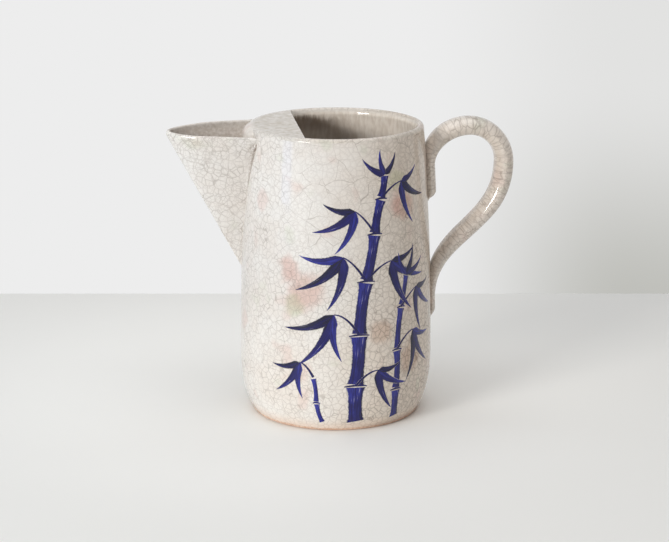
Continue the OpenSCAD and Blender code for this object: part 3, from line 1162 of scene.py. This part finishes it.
def paint_bamboo(brush):
    """Two canes and a young shoot, with leaves in fans at the ends of their twigs."""
    tall = [(12.0, 5.0), (11.0, 28.0), (13.0, 57.0), (17.0, 87.0),
            (22.5, 113.0), (27.0, 132.0), (30.0, 145.0)]
    short = [(38.0, 5.0), (36.0, 23.0), (36.5, 46.0), (39.5, 70.0), (44.0, 88.0)]
    shoot = [(-8.0, 5.0), (-11.0, 18.0), (-12.5, 33.0)]
    brush.cane(short, 6.0, 0.45)
    brush.cane(tall, 10.5, 0.6)
    brush.cane(shoot, 3.4, 0.3)
    twigs = [
        (tall[2], (-1.0, 69.0), 3.0), (tall[3], (33.0, 97.0), 2.0), (tall[3], (4.0, 101.0), 2.0),
        (tall[4], (11.0, 126.0), 1.5), (short[2], (49.0, 55.0), 2.0), (short[3], (53.0, 79.0), 1.0),
        (shoot[2], (-20.0, 41.0), 1.5), (tall[1], (24.0, 36.0), 2.0), (tall[5], (42.0, 140.0), 1.5),
    ]
    for start, end, bow in twigs:
        brush.twig(start, end, bow, 1.7, 0.8)
    fans = [
        ((-1.0, 69.0), (-160, -122, -84), (30, 36, 27)),
        ((33.0, 97.0), (-66, -26, 14), (33, 29, 19)),
        ((4.0, 101.0), (-178, -142, -104), (25, 33, 31)),
        ((11.0, 126.0), (170, -152, -114), (19, 27, 26)),
        ((30.0, 145.0), (150, 104, 52), (17, 14, 14)),
        ((42.0, 140.0), (-72, -28, 24), (26, 24, 16)),
        ((49.0, 55.0), (-98, -56, -16), (29, 27, 18)),
        ((53.0, 79.0), (-84, -40, 6), (26, 22, 15)),
        ((44.0, 88.0), (118, 66, 22), (14, 17, 17)),
        ((-20.0, 41.0), (-168, -128, -90), (18, 24, 21)),
        ((24.0, 36.0), (-70, -30, 8), (26, 22, 15)),
    ]
    for number, ((s, z), turns, lengths) in enumerate(fans):
        for k, (degrees, length) in enumerate(zip(turns, lengths)):
            tone = (1.0, 0.7, 0.45)[(number + k) % 3]
            bend = 0.10 if degrees < -90 or degrees > 90 else -0.10
            brush.leaf(s, z, length, degrees, mix(4.2, 7.4, (length - 14) / 22), tone, bend)


def brush_material():
    """Cobalt under the glaze: darker where it pools, broken where the brush ran dry."""
    material, tree, shader = new_material("brush_blue")
    where = own_place(tree)
    tan, large, _ = body_zones(where)
    look = use_glaze(scaled(where, BODY_FINER), tan, large, 0.6)
    along = stored(tree, "along")
    across = stored(tree, "across")
    tone = stored(tree, "tone")
    off = calc("ABSOLUTE", across)
    cloud = grain(where, 5.0)
    bristles = put("CombineXYZ", {0: times(across, 3.5), 1: along, 2: tone}).outputs[0]
    streak = put("TexNoise", {"Vector": bristles, "Scale": 2.6, "Detail": 2.0}).outputs["Fac"]
    dark = plus(times(tone, 0.75), times(cloud, 0.35), times(across, -0.16),
                slope(streak, 0.35, 0.7, -0.22, 0.2), slope(off, 0.55, 0.85, 0.0, 0.16),
                slope(along, 0.45, 1.0, 0.0, -0.2))
    blue = blend(slope(dark, 0.2, 0.55), BLUE_WASH, BLUE_MID)
    blue = blend(slope(dark, 0.55, 1.0), blue, BLUE_DEEP)
    shaken_edge = plus(off, ragged(grain(where, 1.3), 0.3))
    cover = slope(shaken_edge, 0.84, 0.98, 1.0, 0.0)
    dryness = minus(streak, times(along, 0.12))
    cover = times(cover, slope(dryness, 0.18, 0.26, 0.5, 1.0))
    stained = blend(cover, look["Color"], blend(0.30, blue, look["Color"], "MULTIPLY"))
    dress(shader, stained, look["Roughness"], look["Height"])
    return material


def brush_mesh():
    brush = Brush()
    paint_bamboo(brush)
    return brush.skin.mesh("brushwork", **brush.values)


# Stage, light and camera

# Painted light: the floor is lighter round the object, fading to its plain tone further away
FLOOR_PAINTED_LIGHT = colour(251, 251, 249)
FLOOR_FAR = colour(241, 241, 239)
PAINTED_LIGHT_MIDDLE = (-35.0, 70.0, 0.0)
PAINTED_LIGHT_R = 90.0
PAINTED_LIGHT_END_R = 265.0
BACKDROP_WHITE = colour(237, 237, 237)
BACKDROP_SHADE = colour(190, 190, 185)
FLOOR_BACK = 238.0
FLOOR_SPAN = 1500.0
FLOOR_EDGE = 4.0
FLOOR_RISE = ((FLOOR_EDGE, -24.0), (0.0, -20.0), (0.0, -FLOOR_EDGE),
              (FLOOR_EDGE * 0.3, -FLOOR_EDGE * 0.3), (FLOOR_EDGE, 0.0))
ROOM_LEFT = (0.10, 0.10, 0.10, 1.0)
ROOM_RIGHT = (1.06, 0.938, 0.81, 1.0)
ROOM_FRONT = (0.60, 0.565, 0.53, 1.0)
ROOM_TOP = (0.08, 0.08, 0.08, 1.0)


def make_floor():
    """Pale table top that ends a little behind the object, with painted light: it is coloured lighter
    round the object's foot.
    """
    back = Vector((-math.sin(CAMERA_AZIMUTH), math.cos(CAMERA_AZIMUTH), 0.0))
    right = Vector((math.cos(CAMERA_AZIMUTH), math.sin(CAMERA_AZIMUTH), 0.0))
    skin = Skin()
    rows = []
    for inset, z in FLOOR_RISE:
        corners = []
        for x, y in ((-1, -1), (1, -1), (1, 1), (-1, 1)):
            depth = FLOOR_BACK - inset if y > 0 else -FLOOR_SPAN + inset
            corners.append(right * x * (FLOOR_SPAN - inset) + back * depth + Vector((0.0, 0.0, z)))
        rows.append(skin.row(corners))
    skin.tube(rows)
    floor = add("floor", skin.mesh("floor"))
    material, tree, shader = new_material("floor_white")
    # Painted light round the foot lifts the shade there
    away = vector("DISTANCE", scaled(own_place(tree), 1 / MM), PAINTED_LIGHT_MIDDLE, "Value")
    tone = blend(slope(away, PAINTED_LIGHT_R, PAINTED_LIGHT_END_R), FLOOR_PAINTED_LIGHT, FLOOR_FAR)
    fill(shader, {"Base Color": tone, "Roughness": 0.6, "Specular IOR Level": 0.2})
    floor.data.materials.append(material)


def make_world():
    """Soft light, dimmer above; camera and reflections see a pale backdrop, shaded on the right."""
    world = bpy.data.worlds.new("studio")
    bpy.context.scene.world = world
    world.use_nodes = True
    tree = world.node_tree
    towards = put("SeparateXYZ", {0: new_node(tree, "TexCoord").outputs["Generated"]}).outputs
    room = blend(slope(towards["X"], -0.9, 0.9), ROOM_LEFT, ROOM_RIGHT)
    room = blend(slope(towards["Y"], 0.1, -0.9), room, ROOM_FRONT)
    room = blend(slope(towards["Z"], 0.05, 0.4), room, ROOM_TOP)
    low = slope(towards["Z"], -0.28, -0.165, 1.0, 0.26)
    shade = times(slope(towards["X"], 0.15, 0.26), low)
    backdrop = blend(shade, BACKDROP_WHITE, BACKDROP_SHADE)
    path = new_node(tree, "LightPath").outputs
    seen = calc("MAXIMUM", path["Is Camera Ray"], path["Is Transmission Ray"])
    seen = calc("MAXIMUM", seen, path["Is Glossy Ray"])
    fill(tree.nodes["Background"], {"Color": blend(seen, room, backdrop)})


def aim(thing, azimuth, elevation, distance):
    """Puts a lamp or the camera at a distance from the middle of the object, facing it."""
    level = math.cos(elevation)
    back = Vector((math.sin(azimuth) * level, -math.cos(azimuth) * level, math.sin(elevation)))
    thing.location = (CAMERA_AIM + back * distance) * MM
    thing.rotation_euler = back.to_track_quat("Z", "Y").to_euler()


def make_lamp(name, azimuth, elevation, distance, width, height, power,
              tint=(1.0, 1.0, 1.0), mirrored=True):
    """Soft rectangular lamp; azimuth 0 is the camera's side, and the glaze may mirror it or not."""
    light = bpy.data.lights.new(name, "AREA")
    light.shape = "RECTANGLE"
    light.size = width * MM
    light.size_y = height * MM
    light.energy = power
    light.color = tint
    lamp = add(name, light)
    lamp.visible_glossy = mirrored
    aim(lamp, CAMERA_AZIMUTH + math.radians(azimuth), math.radians(elevation), distance)


def make_camera():
    camera = add("camera", bpy.data.cameras.new("camera"))
    camera.data.sensor_fit = "HORIZONTAL"
    camera.data.sensor_width = 36.0
    camera.data.lens = CAMERA_LENS
    aim(camera, CAMERA_AZIMUTH, CAMERA_ELEVATION, CAMERA_DISTANCE)
    bpy.context.scene.camera = camera


# The scene itself

GLAZE = glaze_group()

place("body", cut(body_mesh(), window_cutter()), body_material(), "body_wall")
spout_glaze = glaze_material("spout_glaze", 0.0, 0.0, 1.0, 1.0, deep=SPOUT_DEEP)
place("spout_scoop", spout_mesh(), spout_glaze, "spout")
guard_glaze = glaze_material("guard_glaze", 0.2, 0.0, 0.0, 0.2, stained=GUARD_GREY, patch=3.6)
place("guard_plate", guard_mesh(), guard_glaze, "ice_guard")
handle_glaze = glaze_material("handle_glaze", 0.52, 0.0, 0.7, 1.2, "strap")
place("handle_strap", handle_mesh(), handle_glaze, "handle")
place("brushwork", brush_mesh(), brush_material())

inner_glaze = glaze_material("inner_glaze", 0.7, 0.3, 0.5)
repaint("floor_seam_coil", inner_glaze)
repaint("guard_seam_coil", inner_glaze)
repaint("floor_slab", clay_material())

make_floor()
make_world()
make_lamp("window", -63, 0, 800, 200, 110, 0.13, (0.14, 0.40, 1.0))
make_lamp("left_fill", -76, 3, 800, 500, 400, 0.55, (0.36, 0.70, 1.0), mirrored=False)
make_lamp("sky", -42, 16.5, 2000, 620, 400, 20.5, (1.0, 0.98, 0.945))
make_lamp("overhead", 90, 88, 2200, 2400, 2400, 38.0)
make_camera()
bpy.context.scene.view_settings.view_transform = "Standard"
